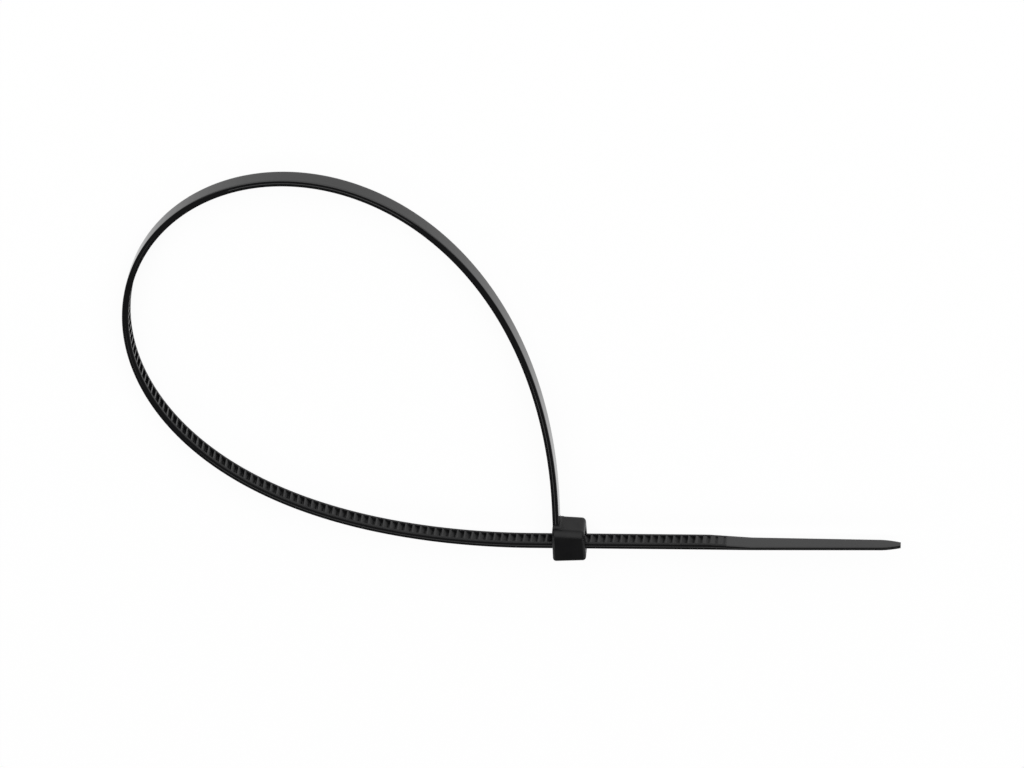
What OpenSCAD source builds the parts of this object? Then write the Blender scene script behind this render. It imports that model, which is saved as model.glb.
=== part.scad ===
// Nylon cable tie closed into a loop: one moulding with head, pawl, toothed strap and tail.
// Millimetres. X runs along the slot, out towards the tail; Y from the head to where the strap
// is rooted; Z up. The head lies on its side face on Z = 0, origin at the middle of that face.
// The strap leaves the root face of the head, goes round to the left and comes back through it.

/* [Strap] */
// Width of the strap
strap_w = 3.6; // [2.2:0.1:7.6]
// Thickness of the toothed strap
strap_t = 1.2; // [0.9:0.05:1.8]
// Width of each plain rail beside the teeth
rail_w = 0.55; // [0.3:0.05:1.2]
// Step along each edge of the strap where the two halves of the mould meet
parting_step = 0.06; // [0.02:0.01:0.15]

/* [Loop] */
// Length of the curved part of the strap
curve_len = 239; // [70:1:330]
// How much more sharply the loop turns near its root than near the slot
curve_lean = 0.038; // [-0.2:0.001:0.2]
// How much the turning gathers in the middle of the loop
curve_gather = 0.645; // [0.55:0.005:0.7]
// Flattening of that gathering
curve_flat = 0.039; // [-0.05:0.001:0.15]
// Straight pieces the curve is drawn with
curve_steps = 216; // [120:12:360]

/* [Teeth] */
// Distance from one tooth to the next
pitch = 1.41; // [1:0.01:2.2]
// Depth of the pockets between the teeth
tooth_depth = 0.5; // [0.3:0.02:0.8]
// Part of the pitch that is the flat top of a tooth
tooth_land = 0.2; // [0.15:0.01:0.5]
// Part of the pitch that is the sloped back of a tooth
tooth_ramp = 0.62; // [0.3:0.01:0.7]
// Plain strap left between the root and the first tooth
plain_root = 9; // [3:0.5:25]

/* [Tail] */
// Distance from the exit face to the last tooth
tail_toothed = 27.2; // [8:0.5:90]
// Length of the smooth tail beyond the teeth, tip and all
tail_smooth = 32; // [12:0.5:60]
// Thickness of the smooth tail
tail_t = 0.64; // [0.4:0.02:1.2]
// Length over which the teeth run out into the smooth tail
tail_fade = 8; // [3:0.5:15]
// Width of the tail just before its tip
tip_w = 2.8; // [1.2:0.1:5]
// Length of the tapered tip
tip_len = 3.6; // [1:0.1:8]
// Width of the blunt end of the tip
tip_end = 1.1; // [0.4:0.1:3]

/* [Head] */
// Size of the head along the slot, at the root face
head_x = 6.05; // [4:0.05:12]
// Size of the head from the root face to its far end, measured at the entry face
head_y = 6.75; // [4.5:0.05:12]
// Size of the head across the strap
head_z = 6.65; // [4.5:0.05:13]
// Distance from the root face to the middle of the strap in the slot
slot_down = 4.1; // [3:0.1:8]
// Slope of the root face, down towards the exit face
root_slope = 3.9; // [0:0.1:6]
// Slope of the far end, up towards the exit face
end_slope = 2.1; // [0:0.1:6]
// Slope of the exit face, outwards from the root face to the far end
exit_slope = 2.1; // [0:0.1:4]
// Corner radius of the root end, seen along the slot
root_r = 1.35; // [0.4:0.05:2.5]
// Corner radius of the far end, seen along the slot
end_r = 0.6; // [0.2:0.05:2]
// Rounding of the edges round the entry and exit faces
face_r = 0.65; // [0.2:0.05:1]
// Distance of the strap's inner face from the plane of the entry face
root_inset = 0.15; // [0:0.05:0.6]
// Radius of the fillets between the strap and the root face
root_fillet = 0.65; // [0.2:0.05:1.5]
// Lead-in bevel round the entry of the slot
slot_lead = 0.35; // [0.1:0.05:0.6]

/* [Pawl] */
// Width of the pawl
pawl_w = 2.3; // [1.2:0.1:4]
// Thickness of the pawl at its hinge
hinge_t = 0.55; // [0.4:0.05:1]
// Height of the pawl over the strap at its free end
pawl_h = 1.35; // [0.8:0.05:2]
// Wall between the entry face and the hinge
hinge_wall = 1.2; // [0.8:0.1:2.5]
// Distance of the pawl's free end inside the exit face
pawl_inset = 0.5; // [0.2:0.05:1.5]
// Teeth on the pawl
pawl_teeth = 2; // [1:1:3]

/* [Clearances] */
// Gap between each edge of the strap and the slot
slot_side_gap = 0.2; // [0.1:0.05:0.4]
// Gap between the strap's faces and the slot
slot_face_gap = 0.14; // [0.08:0.02:0.3]
// Gap between the pawl's teeth and the strap's teeth
mesh_gap = 0.08; // [0.05:0.01:0.15]
// Gap on each side of the pawl
pawl_side_gap = 0.22; // [0.15:0.01:0.5]
// Room over the pawl in which it is lifted as the strap goes through
pawl_lift = 0.62; // [0.5:0.02:1]

/* [Hidden] */
$fn = 48;
turn = 270;
bury = 0.9;
root_y = head_y / 2;
slot_y = root_y - slot_down;
entry_x = -head_x / 2;
root_x = entry_x + root_inset + strap_t / 2;
mid_z = head_z / 2;
// Height of the root face and of the far end, at a place x along the slot
function root_face(x) = root_y - (x - entry_x) * tan(root_slope);
function far_face(x) = (x - entry_x) * tan(end_slope) - root_y;

// Heading of the strap at a part u of the curve, 90 at the root and 360 at the slot
function heading(u) = 90 + turn * (u + curve_lean * sin(180 * u) / PI
    - curve_gather * sin(360 * u) / (2 * PI) + curve_flat * sin(720 * u) / (4 * PI));
step = curve_len / curve_steps;
// The curve from its own start, one point to each step
curve = [for (i = 0, p = [0, 0]; i <= curve_steps; i = i + 1,
    p = p + step * [cos(heading((i - 0.5) / curve_steps)), sin(heading((i - 0.5) / curve_steps))]) p];
curve_end = curve[curve_steps];
// Straight runs that bring the curve back to the slot, whatever its length
lead_root = slot_y - root_y - curve_end[1];
lead_slot = entry_x - root_x - curve_end[0];
s_curve = lead_root;
s_slot = s_curve + curve_len + lead_slot;
s_exit = s_slot + head_x;
s_fade = s_exit + tail_toothed - tail_fade / 2;
s_tip = s_exit + tail_toothed + tail_smooth;
tip_x = head_x / 2 + tail_toothed + tail_smooth;

// Stations along the strap, each with distance, point and heading
stations = concat(
    [[-bury, root_x, root_y - bury, 90]],
    [for (i = [0 : curve_steps]) [s_curve + i * step, root_x + curve[i][0],
        root_y + lead_root + curve[i][1], heading(i / curve_steps)]],
    [[s_fade, entry_x + s_fade - s_slot, slot_y, 360],
     [s_fade + tail_fade, entry_x + s_fade + tail_fade - s_slot, slot_y, 360],
     [s_tip, tip_x, slot_y, 360]]);
table_x = [for (q = stations) [q[0], q[1]]];
table_y = [for (q = stations) [q[0], q[2]]];
table_h = [for (q = stations) [q[0], q[3]]];
// Point at a distance s along the strap and d inwards from its middle line
function at(s, d) = let (h = lookup(s, table_h))
    [lookup(s, table_x) - d * sin(h), lookup(s, table_y) + d * cos(h)];
// Height of the inner face over the middle line, lower on the smooth tail
function inner(s) = s <= s_fade ? strap_t / 2
    : s >= s_fade + tail_fade ? tail_t - strap_t / 2
    : strap_t / 2 - (strap_t - tail_t) * (s - s_fade) / tail_fade;

// Teeth are counted back from the one that the pawl holds
s_held = s_exit - pawl_inset + mesh_gap;
tooth_gap = pitch * (1 - tooth_land);
first = s_held - tooth_gap - pitch * floor((s_held - tooth_gap - plain_root) / pitch);
tooth_count = floor((s_exit + tail_toothed - first) / pitch);
floor_d = strap_t / 2 - tooth_depth;

// The strap lies a little off level, so that the far side of the loop rests on Z = 0 as well
reach = max([for (q = stations) q[2] - slot_y - q[1]]) / sqrt(2) + strap_t / 2;
sag = asin((mid_z - strap_w / 2) / reach);

module band() {
    linear_extrude(height = strap_w, center = true) polygon(concat(
        [for (q = stations) at(q[0], -strap_t / 2)],
        [for (i = [len(stations) - 1 : -1 : 0]) at(stations[i][0], inner(stations[i][0]))]));
}

// All pockets at once: a comb that cuts from the inner face, between the rails
module pockets() {
    over = strap_t / 2 + 0.2;
    linear_extrude(height = strap_w - 2 * rail_w, center = true) polygon(concat(
        [for (k = [0 : tooth_count - 1], j = [0 : 4]) let (s = first + k * pitch)
            j == 0 ? at(s, over)
            : j == 1 ? at(s, strap_t / 2)
            : j == 2 ? at(s + pitch * tooth_ramp, floor_d)
            : j == 3 ? at(s + tooth_gap, floor_d) : at(s + tooth_gap, over)],
        [for (k = [tooth_count - 1 : -1 : 0]) at(first + (k + 0.5) * pitch, over + 0.3)]));
}

// Takes the corners off the end of the tail and narrows it towards the tip
module tail_sides() {
    x0 = head_x / 2 + tail_toothed + tail_fade;
    for (side = [-1, 1]) translate([0, slot_y, 0]) rotate([90, 0, 0])
        linear_extrude(height = 3 * strap_t, center = true) polygon([
            [x0, side * strap_w / 2], [tip_x - tip_len, side * tip_w / 2],
            [tip_x - tip_len * 0.3, side * (tip_w * 0.3 + tip_end * 0.7) / 2],
            [tip_x, side * tip_end / 2], [tip_x + 1, side * tip_end / 2],
            [tip_x + 1, side * strap_w], [x0, side * strap_w]]);
}

// The outer half of the strap is narrower by a step than the toothed half
module parting(side) {
    d = [-strap_t / 2 - 0.3, -0.05];
    translate([0, 0, side * (strap_w / 2 - parting_step + 0.5)])
        linear_extrude(height = 1, center = true) polygon(concat(
            [for (q = stations) at(q[0] + (q == stations[0] ? bury : 0), d[0])],
            [for (i = [len(stations) - 1 : -1 : 0]) at(stations[i][0] + (i == 0 ? bury : 0), d[1])]));
}

module strap() {
    difference() {
        band();
        pockets();
        tail_sides();
        parting(-1);
        parting(1);
    }
}

// Rectangle centred on its middle with round corners
module rounded(a, b, r) {
    square([a - 2 * r, b], center = true);
    square([a, b - 2 * r], center = true);
    for (x = [-1, 1], y = [-1, 1])
        translate([x * (a / 2 - r), y * (b / 2 - r)]) circle(r = r);
}

// Polygon with each corner rounded by an arc of radius r
module rounded_polygon(points, r) {
    n = len(points);
    function unit(v) = v / norm(v);
    // For each corner, where its arc starts and ends, and the middle of the arc
    arcs = [for (i = [0 : n - 1])
        let (p = points[i], a = unit(points[(i + n - 1) % n] - p), b = unit(points[(i + 1) % n] - p),
            half = acos(a * b) / 2)
        [p + a * r / tan(half), p + b * r / tan(half), p + unit(a + b) * r / sin(half)]];
    polygon([for (arc = arcs, k = [0, 1]) arc[k]]);
    for (arc = arcs) translate(arc[2]) circle(r = r);
}

// The head seen across the slot: only its entry face is square to the slot
module head_plan() {
    up = tan(root_slope) * tan(exit_slope);
    down = tan(end_slope) * tan(exit_slope);
    root_corner = (head_x / 2 - entry_x * up) / (1 - up);
    far_corner = (head_x / 2 + head_y * tan(exit_slope) + entry_x * down) / (1 + down);
    rounded_polygon([[entry_x, root_y], [entry_x, -root_y], [far_corner, far_face(far_corner)],
        [root_corner, root_face(root_corner)]], face_r);
}

// Long bar that leaves the rims of one face of the head rounded: that face at y = 0, the rest below
module face_bar(r) {
    long = 2 * (head_x + head_y);
    translate([0, -long / 2, 0]) rotate([90, 0, 90])
        linear_extrude(height = 2 * long, center = true) rounded(long, head_z, r);
}

module head_block() {
    intersection() {
        linear_extrude(height = head_z, center = true) head_plan();
        translate([entry_x, root_y, 0]) rotate([0, 0, -root_slope]) face_bar(root_r);
        translate([entry_x, -root_y, 0]) rotate([0, 0, 180 + end_slope]) face_bar(end_r);
        translate([entry_x, 0, 0]) rotate([0, 0, 90]) face_bar(face_r);
        translate([head_x / 2, root_y, 0]) rotate([0, 0, exit_slope - 90]) face_bar(face_r);
    }
}

// Slot right through, bevelled at its entry, and the bay over it in which the pawl hangs
module slot_and_bay() {
    w = strap_w + 2 * slot_side_gap;
    t = strap_t + 2 * slot_face_gap;
    bay_y = slot_y + strap_t / 2 + pawl_h + pawl_lift;
    bay_x = entry_x + hinge_wall;
    bay_w = pawl_w + 2 * pawl_side_gap;
    translate([0, slot_y, 0]) cube([head_x + 2, t, w], center = true);
    translate([bay_x, slot_y, -bay_w / 2]) cube([head_x, bay_y - slot_y, bay_w]);
    translate([entry_x, slot_y, 0]) rotate([90, 0, 0])
        linear_extrude(height = t, center = true) polygon([
            [-1, -w / 2 - slot_lead - 1], [slot_lead, -w / 2], [slot_lead, w / 2],
            [-1, w / 2 + slot_lead + 1]]);
    translate([entry_x, slot_y, 0]) linear_extrude(height = w, center = true) polygon([
        [-1, -t / 2 - slot_lead - 1], [slot_lead, -t / 2], [slot_lead, t / 2],
        [-1, t / 2 + slot_lead + 1]]);
}

// Pawl: hinged on the entry side, its teeth held in the strap's pockets near the exit
module pawl() {
    y0 = slot_y + strap_t / 2;
    free_x = head_x / 2 - pawl_inset;
    bay_x = entry_x + hinge_wall;
    tip_y = y0 - tooth_depth + mesh_gap;
    base = y0 + mesh_gap;
    linear_extrude(height = pawl_w, center = true) polygon(concat(
        [[bay_x - 0.6, y0 + 2.6 * mesh_gap], [bay_x + 0.3, y0 + 2.6 * mesh_gap],
         [free_x - pawl_teeth * pitch - 0.15, base]],
        [for (k = [pawl_teeth - 1 : -1 : 0], j = [0 : 3]) let (x = free_x - k * pitch)
            j == 0 ? [x - pitch * (1 - tooth_land) + mesh_gap, base]
            : j == 1 ? [x - pitch * (1 - tooth_land - tooth_ramp) + mesh_gap, tip_y]
            : j == 2 ? [x, tip_y] : [x, base]],
        [[free_x + 0.001, base], [free_x + 0.001, y0 + pawl_h - 0.3], [free_x - 0.3, y0 + pawl_h],
         [bay_x + 1, y0 + 2.6 * mesh_gap + hinge_t + 0.1],
         [bay_x + 0.3, y0 + 2.6 * mesh_gap + hinge_t], [bay_x - 0.6, y0 + 2.6 * mesh_gap + hinge_t]]));
}

// Flare with a concave fillet on the outer face and on both edges of the strap, on the root face
module root_flare() {
    r = root_fillet;
    outer_x = root_x + strap_t / 2;
    rise = r / cos(root_slope);
    // Middle of the fillet on the outer face, and the line where it runs out on the root face
    mid = [outer_x + r, root_face(outer_x + r) + rise];
    out_x = mid[0] - r * sin(root_slope);
    inner_x = root_x - strap_t / 2;
    wide = strap_w + 2 * r;
    difference() {
        linear_extrude(height = wide, center = true) polygon([
            [inner_x, root_y - bury], [out_x, root_y - bury], [out_x, root_face(out_x) + rise],
            [inner_x, root_face(inner_x) + rise]]);
        translate([mid[0], mid[1], 0]) cylinder(r = r, h = wide + 1, center = true);
        translate([outer_x, mid[1], -wide]) cube([2 * r, 2 * r, 2 * wide]);
        for (side = [-1, 1]) translate([root_x, root_face(root_x) + rise, side * wide / 2])
            rotate([0, 90, -root_slope]) cylinder(r = r, h = head_x, center = true);
    }
}

module cable_tie() {
    color([0.055, 0.055, 0.06])
    translate([0, 0, mid_z]) {
        difference() {
            head_block();
            slot_and_bay();
        }
        pawl();
        // Turned about the line at 45 degrees across the head, under a degree
        translate([0, slot_y, 0]) rotate([0, 0, 45]) rotate([-sag, 0, 0]) rotate([0, 0, -45])
            translate([0, -slot_y, 0]) {
                strap();
                root_flare();
            }
    }
}

cable_tie();
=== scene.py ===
import math
import bpy
from mathutils import Matrix, Vector


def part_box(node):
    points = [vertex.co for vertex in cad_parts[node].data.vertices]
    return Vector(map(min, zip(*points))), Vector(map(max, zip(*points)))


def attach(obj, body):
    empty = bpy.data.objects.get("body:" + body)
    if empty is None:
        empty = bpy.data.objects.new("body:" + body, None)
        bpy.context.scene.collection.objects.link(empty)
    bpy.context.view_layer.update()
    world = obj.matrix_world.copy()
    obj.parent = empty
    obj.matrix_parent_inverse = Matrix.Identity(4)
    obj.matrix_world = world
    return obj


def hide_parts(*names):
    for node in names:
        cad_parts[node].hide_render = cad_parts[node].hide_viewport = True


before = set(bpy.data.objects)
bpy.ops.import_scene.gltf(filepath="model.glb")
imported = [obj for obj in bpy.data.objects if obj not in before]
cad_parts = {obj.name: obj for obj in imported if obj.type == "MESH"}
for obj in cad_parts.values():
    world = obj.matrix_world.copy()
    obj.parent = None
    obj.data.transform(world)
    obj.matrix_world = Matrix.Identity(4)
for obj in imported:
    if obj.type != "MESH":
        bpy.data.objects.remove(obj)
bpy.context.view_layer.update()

# Strap. A flat ribbon of nylon with saw teeth moulded between two plain rails on its inner
# face. Its sides keep the fine ridge of the mould's parting line, and beyond the teeth the
# ribbon thins into a smooth tail. It is modelled straight, along X, with its inner face up.
MM = 0.001
X = Vector((1, 0, 0))
Y = Vector((0, 1, 0))
Z = Vector((0, 0, 1))
# Places nearer than this are one place, and what has this much of an axis in it lies along it
TINY = 0.0001 * MM
ALONG = 0.9
# Finish of a face, as its place in the tie's row of materials, in which polished is 0
FINISH_SPARK_CUT = 1
FINISH_RUBBED = 2
# Section of the strap
strap_w = 3.6 * MM
strap_t = 1.2 * MM
rail_w = 0.55 * MM
edge_round = 0.12 * MM
rim_round = 0.07 * MM
parting_step = 0.06 * MM
inner_step = 0.02 * MM
ridge_run = 0.05 * MM
half_w = strap_w / 2
half_t = strap_t / 2
core_w = half_w - rail_w
# Teeth
pitch = 1.41 * MM
tooth_depth = 0.5 * MM
tooth_floor = half_t - tooth_depth
tooth_ramp = 0.62 * pitch
tooth_gap = 0.8 * pitch
plain_root = 9 * MM
fading_teeth = 4
# Tail and tip, with the shares of its length at which the tip is cut across
tail_toothed = 27.2 * MM
tail_smooth = 32 * MM
tail_t = 0.64 * MM
tail_fade = 8 * MM
tip_w = 2.8 * MM
tip_len = 3.6 * MM
tip_end = 1.1 * MM
tip_curve = 1.6
tip_cuts = (1, 0.75, 0.5, 0.3, 0.15, 0.05)
# Head, as far as the route of the strap depends on it
head_x = 6.05 * MM
head_y = 6.75 * MM
tie_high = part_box("cable_tie")[1]
head_z = tie_high[2]
slot_down = 4.1 * MM
root_inset = 0.15 * MM
pawl_inset = 0.5 * MM
mesh_gap = 0.08 * MM
bury = 0.9 * MM
entry_x = -head_x / 2
root_y = head_y / 2
mid_z = head_z / 2
slot_y = root_y - slot_down
root_x = entry_x + root_inset + half_t
tip_x = head_x / 2 + tail_toothed + tail_smooth
# Loop: its length, its turn in degrees, and how the turn leans, gathers and flattens along it
curve_len = 239 * MM
curve_steps = 216
root_heading = 90
loop_turn = 270
curve_lean = 0.038
curve_gather = 0.645
curve_flat = 0.039


def heading(share):
    """Direction of the strap, in radians, at a share of its curve from the root to the slot."""
    turned = share + curve_lean * math.sin(math.pi * share) / math.pi
    turned -= curve_gather * math.sin(2 * math.pi * share) / (2 * math.pi)
    turned += curve_flat * math.sin(4 * math.pi * share) / (4 * math.pi)
    return math.radians(root_heading + loop_turn * turned)


# The curve from its own start, and the straight lengths that join its ends to root and slot
step = curve_len / curve_steps
curve = [Vector((0, 0, 0))]
for i in range(curve_steps):
    angle = heading((i + 0.5) / curve_steps)
    curve.append(curve[-1] + step * Vector((math.cos(angle), math.sin(angle), 0)))
lead_root = slot_y - root_y - curve[-1].y
lead_slot = entry_x - root_x - curve[-1].x


def straight_run(start, end):
    """Points from start to end, as far apart as those of the curve."""
    count = max(1, round((end - start).length / step))
    return [start.lerp(end, k / count) for k in range(count)]


# The route of the middle line: straight out of the root, round the loop, straight through the slot
root_point = Vector((root_x, root_y - bury, 0))
curve_start = Vector((root_x, root_y + lead_root, 0))
curve_end = curve_start + curve[-1]
tip_point = Vector((tip_x, slot_y, 0))
route = straight_run(root_point, curve_start) + [curve_start + place for place in curve[:-1]]
route += straight_run(curve_end, tip_point) + [tip_point]

# Distances along the strap from its root end, with the teeth counted back from the pawl
s_exit = bury + lead_root + curve_len + lead_slot + head_x
s_last = s_exit + tail_toothed
s_tip = s_last + tail_smooth
s_held = s_exit - pawl_inset + mesh_gap
teeth_to_pawl = math.floor((s_held - tooth_gap - plain_root - bury) / pitch)
s_first = s_held - tooth_gap - pitch * teeth_to_pawl
tooth_count = math.floor((s_last - s_first) / pitch)
s_teeth_end = s_first + tooth_count * pitch


def only(obj):
    """Makes obj the one selected and active object, in object mode."""
    if bpy.context.mode != "OBJECT":
        bpy.ops.object.mode_set(mode="OBJECT")
    bpy.ops.object.select_all(action="DESELECT")
    obj.select_set(True)
    bpy.context.view_layer.objects.active = obj


def pick(obj, kind, test):
    """Selects, in edit mode, those of obj's vertices, edges or faces that pass a test.

    The test is given the middle of each one, and its normal or, for an edge, its direction.
    """
    bpy.ops.object.mode_set(mode="EDIT")
    bpy.ops.mesh.select_mode(type=kind)
    bpy.ops.mesh.select_all(action="DESELECT")
    bpy.ops.object.mode_set(mode="OBJECT")
    mesh = obj.data
    if kind == "VERT":
        for vertex in mesh.vertices:
            vertex.select = test(vertex.co, vertex.normal)
    elif kind == "EDGE":
        for edge in mesh.edges:
            start, end = (mesh.vertices[index].co for index in edge.vertices)
            edge.select = test((start + end) / 2, (end - start).normalized())
    else:
        for face in mesh.polygons:
            face.select = test(face.center, face.normal)
    bpy.ops.object.mode_set(mode="EDIT")


def block(name, low, high):
    """A box between two corners, its size in its mesh and its object at the origin."""
    if bpy.context.mode != "OBJECT":
        bpy.ops.object.mode_set(mode="OBJECT")
    bpy.ops.object.select_all(action="DESELECT")
    middle = (Vector(low) + Vector(high)) / 2
    bpy.ops.mesh.primitive_cube_add(size=1, location=middle, scale=Vector(high) - Vector(low))
    box = bpy.context.object
    box.name = name
    bpy.ops.object.transform_apply(location=True, rotation=False, scale=True)
    return box


def cut_across(obj, axis, places):
    """Bisects the whole of obj at each place along an axis, and leaves it in edit mode."""
    bpy.ops.object.mode_set(mode="EDIT")
    for place in places:
        bpy.ops.mesh.select_all(action="SELECT")
        bpy.ops.mesh.bisect(plane_co=place * axis, plane_no=axis, threshold=TINY)


def side_lines(height, reach):
    """A test for the edges along both sides of the strap that lie within reach of a height."""
    def passes(at, way):
        on_side = abs(at.z) > core_w + TINY and abs(way.x) > ALONG
        return on_side and abs(at.y - height) < reach
    return passes


def strap_bar(name, start, end):
    """A length of strap without teeth, open at both ends, with its rails and parting line."""
    bar = block(name, (start, -half_t, -half_w), (end, half_t, half_w))
    pick(bar, "FACE", lambda at, normal: abs(normal.x) > ALONG)
    bpy.ops.mesh.delete(type="ONLY_FACE")
    cut_across(bar, Z, [-core_w, core_w])
    cut_across(bar, Y, [-ridge_run, 0, ridge_run])
    pick(bar, "VERT", lambda at, normal: abs(at.z) > core_w + TINY and at.y < -TINY)
    bpy.ops.transform.resize(value=(1, 1, 1 - parting_step / half_w))
    pick(bar, "VERT", lambda at, normal: abs(at.z) > core_w + TINY and at.y > TINY)
    bpy.ops.transform.resize(value=(1, 1, 1 - inner_step / half_w))
    pick(bar, "EDGE", side_lines(0, 2 * ridge_run))
    bpy.ops.mesh.mark_sharp()
    pick(bar, "EDGE", side_lines(-half_t, TINY))
    bpy.ops.mesh.bevel(offset=edge_round, segments=2)
    pick(bar, "EDGE", side_lines(half_t, TINY))
    bpy.ops.mesh.bevel(offset=rim_round, segments=1)
    return bar


def saw_tooth(obj, start, level, chosen):
    """Pushes the chosen faces down from level, and lifts their edge at start back into a ramp."""
    pick(obj, "FACE", chosen)
    bpy.ops.mesh.extrude_region_move(TRANSFORM_OT_translate={"value": (0, -tooth_depth, 0)})
    pushed = level - tooth_depth
    pick(obj, "VERT", lambda at, normal: abs(at.x - start) < TINY and abs(at.y - pushed) < TINY)
    bpy.ops.transform.translate(value=(0, tooth_depth, 0))
    bpy.ops.mesh.select_all(action="SELECT")
    bpy.ops.mesh.remove_doubles(threshold=TINY)


# One pitch of the toothed strap: a ramp down, a short floor, a steep face and the tooth's flat top
strap = strap_bar("strap", 0, pitch)
cut_across(strap, X, [tooth_ramp, tooth_gap])
saw_tooth(strap, 0, half_t,
          lambda at, normal: normal.y > ALONG and abs(at.z) < core_w and at.x < tooth_gap)
pick(strap, "EDGE", lambda at, way: at.y > 0 and abs(at.z) < core_w + TINY)
bpy.ops.mesh.mark_sharp()
bpy.ops.object.mode_set(mode="OBJECT")
strap.data.transform(Matrix.Translation((s_first, 0, 0)))
row = strap.modifiers.new("row_of_teeth", "ARRAY")
row.count = tooth_count
row.use_relative_offset = False
row.use_constant_offset = True
row.constant_offset_displace = (pitch, 0, 0)
row.use_merge_vertices = True
row.merge_threshold = TINY
only(strap)
bpy.ops.object.modifier_apply(modifier=row.name)

# The plain strap at the root and the smooth tail, cut often enough to bend and to taper
root_bar = strap_bar("plain_strap", 0, s_first)
cut_across(root_bar, X, [bury + k * step for k in range(math.ceil((s_first - bury) / step))])
tail_bar = strap_bar("smooth_tail", s_teeth_end, s_tip)
cut_across(tail_bar, X, [s_last + tail_fade / 2] + [s_tip - tip_len * share for share in tip_cuts])
only(strap)
root_bar.select_set(True)
tail_bar.select_set(True)
bpy.ops.object.join()
bpy.ops.object.mode_set(mode="EDIT")
bpy.ops.mesh.select_all(action="SELECT")
bpy.ops.mesh.remove_doubles(threshold=TINY)
bpy.ops.mesh.select_all(action="DESELECT")
bpy.ops.mesh.select_non_manifold()
bpy.ops.mesh.edge_face_add()
bpy.ops.object.mode_set(mode="OBJECT")

# The last pockets run out: each is shallower and shorter than the one before it, and the flat top
# of its tooth is longer. The teeth are counted back from the smooth tail, with 1 the last.
count_slack = 0.01
for vertex in strap.data.vertices:
    teeth_left = (s_teeth_end - vertex.co.x) / pitch
    tooth = math.ceil(teeth_left - count_slack)
    run_out = 1 - tooth / (fading_teeth + 1)
    between_rails = abs(vertex.co.z) < core_w + TINY and vertex.co.y > tooth_floor - TINY
    if between_rails and 1 <= tooth <= fading_teeth:
        if vertex.co.y < half_t - TINY:
            vertex.co.y += run_out * tooth_depth
        elif tooth - teeth_left < count_slack:
            vertex.co.x += run_out * tooth_ramp

# As far as the teeth go the inner face, rails and pockets, is spark cut. The flat tops of the
# teeth rub in the slot.
strap.data.update()
for face in strap.data.polygons:
    on_side = abs(face.normal.z) > ALONG and abs(face.center.z) > core_w + TINY
    if face.center.y > ridge_run and face.center.x < s_teeth_end and not on_side:
        tooth_top = abs(face.center.z) < core_w and face.center.y > half_t - TINY
        face.material_index = FINISH_RUBBED if tooth_top else FINISH_SPARK_CUT


def share_of_way(x, start, length):
    """How far x is between start and start + length, from 0 to 1."""
    return min(1, max(0, (x - start) / length))


# The tail thins from its inner face, narrows evenly and then runs in to a blunt tip
narrow_from = s_last + tail_fade / 2
narrow_len = s_tip - tip_len - narrow_from
for vertex in strap.data.vertices:
    x = vertex.co.x
    thin = 1 - (1 - tail_t / strap_t) * share_of_way(x, s_last - tail_fade / 2, tail_fade)
    width = strap_w - (strap_w - tip_w) * share_of_way(x, narrow_from, narrow_len)
    width -= (tip_w - tip_end) * share_of_way(x, s_tip - tip_len, tip_len) ** tip_curve
    vertex.co.y = (vertex.co.y + half_t) * thin - half_t
    vertex.co.z *= width / strap_w

# The straight strap is bent along its route, which lies flat
guide_curve = bpy.data.curves.new("route", "CURVE")
guide_curve.dimensions = "2D"
spline = guide_curve.splines.new("POLY")
spline.points.add(len(route) - 1)
for point, place in zip(spline.points, route):
    point.co = (place.x, place.y, 0, 1)
guide = bpy.data.objects.new("route", guide_curve)
bpy.context.scene.collection.objects.link(guide)
bend = strap.modifiers.new("bend", "CURVE")
bend.object = guide
bend.deform_axis = "POS_X"
only(strap)
bpy.ops.object.modifier_apply(modifier=bend.name)
bpy.data.objects.remove(guide)

# Flare. The foot of the strap, of the same nylon: where it leaves the head it spreads in a concave
# fillet on its outer face and on both sides, so that it doesn't tear off when it is pulled. It
# stands over the strap by a skin, so that the two join cleanly.
root_slope = math.radians(3.9)
root_fillet = 0.65 * MM
skin = 0.01 * MM
outer_x = root_x + half_t + skin
inner_x = root_x - half_t + skin
out_x = outer_x + root_fillet * (1 - math.sin(root_slope))
rise = root_fillet / math.cos(root_slope)
flare_w = half_w + skin + root_fillet


def root_face(x):
    """Height of the sloped root face of the head at a place x along the slot."""
    return root_y - (x - entry_x) * math.tan(root_slope)


def combine(obj, other, operation):
    """Joins other to obj, or cuts it out of obj, and uses it up."""
    change = obj.modifiers.new(operation.lower(), "BOOLEAN")
    change.operation = operation
    change.solver = "EXACT"
    change.object = other
    only(obj)
    bpy.ops.object.modifier_apply(modifier=change.name)
    bpy.data.objects.remove(other)


def rod(length, middle, turn):
    """A round cutter for the fillet with its middle at a point, turned as given in radians."""
    bpy.ops.object.select_all(action="DESELECT")
    bpy.ops.mesh.primitive_cylinder_add(vertices=64, radius=root_fillet, depth=length,
                                        location=middle, rotation=turn)
    return bpy.context.object


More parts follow.
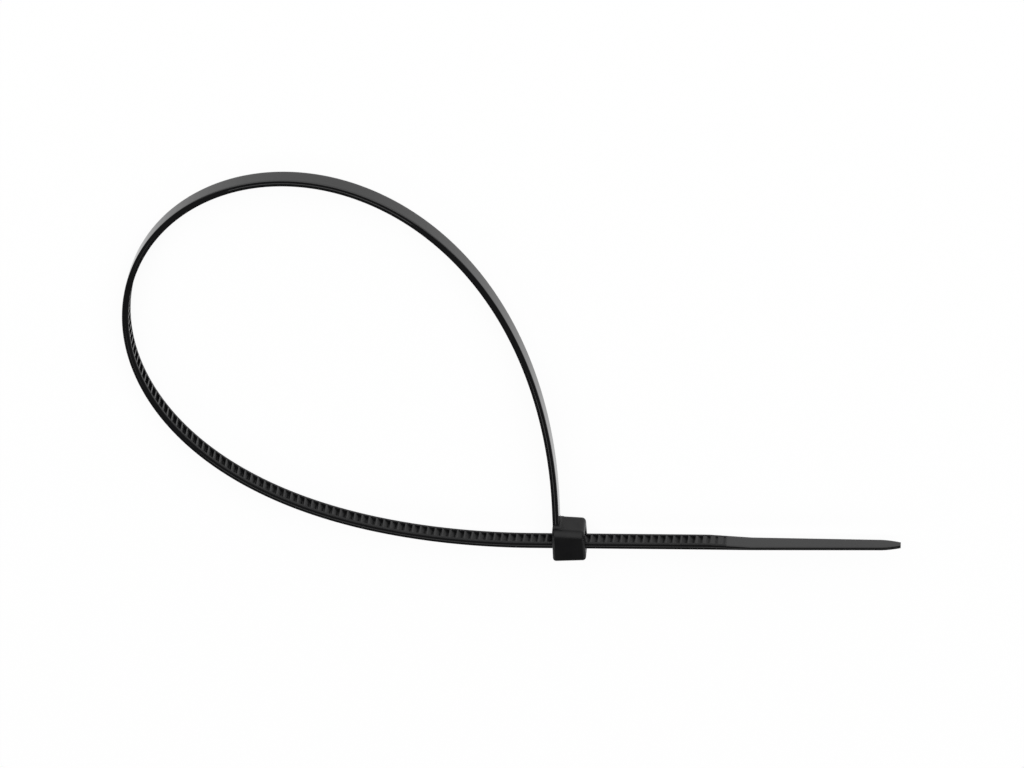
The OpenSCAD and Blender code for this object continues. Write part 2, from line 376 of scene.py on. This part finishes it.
flare = block("flare", (inner_x, root_y - bury, -flare_w),
              (out_x, root_face(inner_x) + rise, flare_w))
pick(flare, "VERT", lambda at, normal: at.x > root_x and at.y > root_y)
bpy.ops.transform.translate(value=(0, (inner_x - out_x) * math.tan(root_slope), 0))
bpy.ops.object.mode_set(mode="OBJECT")
cove_x = outer_x + root_fillet
cove_y = root_face(cove_x) + rise
combine(flare, rod(3 * strap_w, (cove_x, cove_y, 0), (0, 0, 0)), "DIFFERENCE")
spare = block("spare", (outer_x, cove_y, -strap_w), (cove_x, cove_y + root_fillet, strap_w))
combine(flare, spare, "DIFFERENCE")
for side in (-1, 1):
    cove = rod(head_x, (root_x, root_face(root_x) + rise, side * flare_w),
               (0, math.pi / 2, -root_slope))
    combine(flare, cove, "DIFFERENCE")
for face in flare.data.polygons:
    face.material_index = FINISH_SPARK_CUT
combine(strap, flare, "UNION")

# Strap and flare lean a little about the line at 45 degrees across the head, so that the far
# side of the loop rests on the floor as well
reach = max(place.y - slot_y - place.x for place in route) / math.sqrt(2) + half_t
sag = math.asin((mid_z - half_w) / reach)
pivot = Matrix.Translation((0, slot_y, 0))
lean = pivot @ Matrix.Rotation(-sag, 4, X + Y) @ pivot.inverted()
strap.data.transform(Matrix.Translation((0, 0, mid_z)) @ lean)

# Head. The nylon block that the strap is drawn through: its root face, far end and exit face slope
# a little, all its edges are rounded, and the slot is bevelled where the tail is threaded in.
end_slope = math.radians(2.1)
exit_slope = math.radians(2.1)
root_r = 1.35 * MM
face_r = 0.65 * MM
slot_lead = 0.35 * MM
slot_side_gap = 0.2 * MM
slot_face_gap = 0.14 * MM
over = 0.5 * MM
up = math.tan(root_slope) * math.tan(exit_slope)
down = math.tan(end_slope) * math.tan(exit_slope)
root_corner = (head_x / 2 - entry_x * up) / (1 - up)
far_corner = (head_x / 2 + head_y * math.tan(exit_slope) + entry_x * down) / (1 + down)
far_rise = (far_corner - entry_x) * math.tan(end_slope)
head = block("head", (entry_x, -root_y, 0), (-entry_x, root_y, head_z))
pick(head, "VERT", lambda at, normal: at.x > 0 and at.y > 0)
bpy.ops.transform.translate(value=(root_corner + entry_x, root_face(root_corner) - root_y, 0))
pick(head, "VERT", lambda at, normal: at.x > 0 and at.y < 0)
bpy.ops.transform.translate(value=(far_corner + entry_x, far_rise, 0))
pick(head, "EDGE", lambda at, way: abs(way.x) > ALONG and at.y > 0)
bpy.ops.mesh.bevel(offset=root_r, segments=8)


def on_rim(at, way):
    """Whether an edge of the head is round its entry face, exit face or far end."""
    exit_x = head_x / 2 + (root_y - at.y) * math.tan(exit_slope)
    far_end = abs(way.x) > ALONG and at.y < 0
    return at.x < entry_x + TINY or at.x > exit_x - TINY or far_end


pick(head, "EDGE", on_rim)
bpy.ops.mesh.bevel(offset=face_r, segments=5)
bpy.ops.object.mode_set(mode="OBJECT")

slot_t = half_t + slot_face_gap
slot_w = half_w + slot_side_gap
slot = block("slot", (entry_x - over, slot_y - slot_t, mid_z - slot_w),
             (over - entry_x, slot_y + slot_t, mid_z + slot_w))
cut_across(slot, X, [entry_x + slot_lead])
pick(slot, "VERT", lambda at, normal: at.x < entry_x)
spread = slot_lead + over
bpy.ops.transform.resize(value=(1, 1 + spread / slot_t, 1 + spread / slot_w))
bpy.ops.object.mode_set(mode="OBJECT")
combine(head, slot, "DIFFERENCE")

# Pawl. Moulded with the head, it hangs in a bay over the slot on a thin hinge near the entry face.
# Its two teeth stand in the strap's pockets, steep side towards the exit, so that the strap can't
# slip back.
pawl_w = 2.3 * MM
hinge_t = 0.55 * MM
pawl_h = 1.35 * MM
hinge_wall = 1.2 * MM
hinge_bury = 0.6 * MM
hinge_run = 0.3 * MM
hinge_rise = 2.6 * mesh_gap
back_run = 1 * MM
back_step = 0.1 * MM
free_bevel = 0.3 * MM
pawl_lift = 0.62 * MM
pawl_side_gap = 0.22 * MM
pawl_teeth = 2
teeth_lead = 0.15 * MM
bay_x = entry_x + hinge_wall
strap_top = slot_y + half_t
bay_w = pawl_w / 2 + pawl_side_gap
bay = block("bay", (bay_x, slot_y, mid_z - bay_w),
            (over - entry_x, strap_top + pawl_h + pawl_lift, mid_z + bay_w))
combine(head, bay, "DIFFERENCE")

# The pawl starts as a bar as thick as its hinge, cut across at these places along the slot
free_x = -entry_x - pawl_inset
hinge_x = bay_x + hinge_run
back_x = bay_x + back_run
teeth_x = free_x - pawl_teeth * pitch - teeth_lead
bevel_x = free_x - free_bevel
hinge_low = strap_top + hinge_rise
hinge_high = hinge_low + hinge_t
pawl = block("pawl", (bay_x - hinge_bury, hinge_low, mid_z - pawl_w / 2),
             (free_x, hinge_high, mid_z + pawl_w / 2))
cut_across(pawl, X, [hinge_x, back_x, teeth_x, bevel_x])


def lift(x, rise, top):
    """Moves the pawl's upper or lower edge at a place x by rise."""
    pick(pawl, "VERT",
         lambda at, normal: abs(at.x - x) < TINY and (at.y > hinge_high - TINY) == top)
    bpy.ops.transform.translate(value=(0, rise, 0))


# Its back climbs from the hinge to the free end, which is bevelled
full = strap_top + pawl_h - hinge_high
climb = (full - back_step) / (bevel_x - back_x)
lift(back_x, back_step, True)
lift(teeth_x, back_step + climb * (teeth_x - back_x), True)
lift(bevel_x, full, True)
lift(free_x, full - free_bevel, True)
# Its underside drops to just over the strap, and the teeth go down from there
base = strap_top + mesh_gap
drop = base - hinge_low
lift(back_x, drop * (back_x - hinge_x) / (teeth_x - hinge_x), False)
for x in (teeth_x, bevel_x, free_x):
    lift(x, drop, False)
for k in range(pawl_teeth):
    steep = free_x - k * pitch
    ramp = steep - tooth_gap + mesh_gap
    cuts = [ramp, ramp + tooth_ramp]
    if k > 0:
        cuts.append(steep - 2 * TINY)
    cut_across(pawl, X, cuts)
    saw_tooth(pawl, ramp, base, lambda at, normal: normal.y < -ALONG and ramp < at.x < steep)
bpy.ops.object.mode_set(mode="OBJECT")
combine(head, pawl, "UNION")

# The tie. Head, pawl and strap come out of the mould as one piece of black nylon 6/6. The mould is
# polished where it forms the strap's back, sides and tail and spark cut elsewhere, and the flat
# tops of the teeth are rubbed smoother in the slot.
nylon_black = "0B0B0C"
nylon_ior = 1.53
patch_size = 2.5 * MM
crease = math.radians(46)


def colour(code):
    """The linear colour of an sRGB hex code such as 0C0C0D."""
    parts = [int(code[i:i + 2], 16) / 255 for i in (0, 2, 4)]
    return [p / 12.92 if p <= 0.04045 else ((p + 0.055) / 1.055) ** 2.4 for p in parts] + [1]


def node(material, kind, settings=(), links=()):
    """Adds a node with its settings, named sockets or properties, and links into its sockets."""
    new = material.node_tree.nodes.new(kind)
    for name, value in dict(settings).items():
        if name in new.inputs:
            new.inputs[name].default_value = value
        else:
            setattr(new, name, value)
    for name, source in dict(links).items():
        material.node_tree.links.new(source, new.inputs[name])
    return new


def nylon(name, gloss, dull, specular, grain_size, grain_depth):
    """Black nylon whose roughness drifts between gloss and dull in patches of patch_size."""
    material = bpy.data.materials.new(name)
    material.use_nodes = True
    shader = material.node_tree.nodes["Principled BSDF"]
    shader.inputs["Base Color"].default_value = colour(nylon_black)
    shader.inputs["IOR"].default_value = nylon_ior
    shader.inputs["Specular IOR Level"].default_value = specular
    place = node(material, "ShaderNodeTexCoord").outputs["Object"]
    patches = node(material, "ShaderNodeTexNoise", {"Scale": 1 / patch_size, "Detail": 3},
                   {"Vector": place})
    drift = {"From Min": 0.3, "From Max": 0.7, "To Min": gloss, "To Max": dull}
    rough = node(material, "ShaderNodeMapRange", drift, {"Value": patches.outputs["Fac"]})
    material.node_tree.links.new(rough.outputs["Result"], shader.inputs["Roughness"])
    grain = node(material, "ShaderNodeTexNoise", {"Scale": 1 / grain_size, "Detail": 2},
                 {"Vector": place})
    bump = node(material, "ShaderNodeBump", {"Strength": 1, "Distance": grain_depth},
                {"Height": grain.outputs["Fac"]})
    material.node_tree.links.new(bump.outputs["Normal"], shader.inputs["Normal"])
    return material


# Polished: mirrors the floor softly on the strap's back, brightest where it is seen at a low angle
polished = nylon("black_nylon_66_polished", gloss=0.06, dull=0.12, specular=0.4,
                 grain_size=0.3 * MM, grain_depth=0.002 * MM)
# Spark cut: the same black, greyer and without clear reflections, on the inner face and the head.
# Its grain is drawn coarser than the real one, so that it shows.
spark_cut = nylon("black_nylon_66_spark_cut", gloss=0.38, dull=0.5, specular=0.18,
                  grain_size=0.15 * MM, grain_depth=0.012 * MM)
# Rubbed: between the two, a thin lighter bar across the strap at each tooth
rubbed = nylon("black_nylon_66_rubbed", gloss=0.2, dull=0.3, specular=0.26,
               grain_size=0.15 * MM, grain_depth=0.005 * MM)
for face in head.data.polygons:
    face.material_index = FINISH_SPARK_CUT
for piece in (head, strap):
    for finish in (polished, spark_cut, rubbed):
        piece.data.materials.append(finish)
combine(head, strap, "UNION")
tie = head
tie.name = "moulded_tie"
only(tie)
bpy.ops.object.shade_smooth_by_angle(angle=crease, keep_sharp_edges=True)

# Flat faces keep a flat shade up to their rounded edges. The modifier takes areas as small as
# these are in square metres for nothing, so it is applied while the mesh is in millimetres.
tie.data.transform(Matrix.Scale(1 / MM, 4))
flats = tie.modifiers.new("flat_faces_stay_flat", "WEIGHTED_NORMAL")
flats.keep_sharp = True
bpy.ops.object.modifier_apply(modifier=flats.name)
tie.data.transform(Matrix.Scale(MM, 4))
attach(tie, "root")
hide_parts("cable_tie")

# Floor. White card under the tie, which the camera and the gloss on the nylon see as nearly plain
# white, so that it keeps only a trace of the tie's shadow
floor_size = 8
card_white = "F4F4F4"
plain_share = 0.93
bpy.ops.object.select_all(action="DESELECT")
bpy.ops.mesh.primitive_plane_add(size=floor_size)
floor = bpy.context.object
floor.name = "floor"
card = bpy.data.materials.new("white_card")
card.use_nodes = True
paper = card.node_tree.nodes["Principled BSDF"]
paper.inputs["Base Color"].default_value = colour(card_white)
paper.inputs["Roughness"].default_value = 0.9
wire = card.node_tree.links.new
ray = node(card, "ShaderNodeLightPath")
seen = node(card, "ShaderNodeMath", {"operation": "ADD"})
wire(ray.outputs["Is Camera Ray"], seen.inputs[0])
wire(ray.outputs["Is Glossy Ray"], seen.inputs[1])
seen_too = node(card, "ShaderNodeMath", {"operation": "ADD", "use_clamp": True})
wire(seen.outputs[0], seen_too.inputs[0])
wire(ray.outputs["Is Transmission Ray"], seen_too.inputs[1])
share = node(card, "ShaderNodeMath", {"operation": "MULTIPLY"})
wire(seen_too.outputs[0], share.inputs[0])
share.inputs[1].default_value = plain_share
white = node(card, "ShaderNodeEmission", {"Color": (1, 1, 1, 1), "Strength": 1})
mixed = node(card, "ShaderNodeMixShader")
wire(share.outputs[0], mixed.inputs[0])
wire(paper.outputs[0], mixed.inputs[1])
wire(white.outputs[0], mixed.inputs[2])
wire(mixed.outputs[0], card.node_tree.nodes["Material Output"].inputs["Surface"])
floor.data.materials.append(card)

# Camera. It stands at the photograph's angle, about a metre off, and looks down on the tie from
# beyond the loop. Its focal length is that of the photograph, in pixels.
camera_place = Vector((0.08011, 0.62853, 0.94729))
camera_turn = (-0.563316, 0.068556, -0.041413)
focal_px = 6043.75
photo_w_px = 1024
sensor_w = 36
bpy.ops.object.camera_add(location=camera_place, rotation=camera_turn)
camera = bpy.context.object
camera.data.sensor_width = sensor_w
camera.data.lens = focal_px / photo_w_px * sensor_w
camera.data.clip_start = 0.01
bpy.context.scene.camera = camera

# Light. A large soft box round the camera and a smaller one on each side beyond the tie, in a
# room that is otherwise dim
room_light = 0.12


def soft_box(name, direction, distance, size, radiance):
    """A square soft box that faces the tie, of a size and with a radiance in which 1 is white."""
    bpy.ops.object.light_add(type="AREA", location=Vector(direction).normalized() * distance)
    lamp = bpy.context.object
    lamp.name = name
    lamp.rotation_euler = Vector(direction).to_track_quat("Z", "Y").to_euler()
    lamp.data.shape = "SQUARE"
    lamp.data.size = size
    lamp.data.energy = radiance * math.pi * size ** 2


soft_box("soft_box_over_camera", (0.07, 0.7, 0.7), distance=1.5, size=2.8, radiance=2.1)
soft_box("soft_box_left", (-0.75, -0.45, 0.5), distance=1.3, size=0.6, radiance=2.5)
soft_box("soft_box_right", (0.75, -0.45, 0.5), distance=1.3, size=0.6, radiance=2.5)
world = bpy.data.worlds.new("dim_room")
world.use_nodes = True
backdrop = world.node_tree.nodes["Background"]
backdrop.inputs["Color"].default_value = (1, 1, 1, 1)
backdrop.inputs["Strength"].default_value = room_light
bpy.context.scene.world = world
bpy.context.scene.view_settings.view_transform = "Standard"
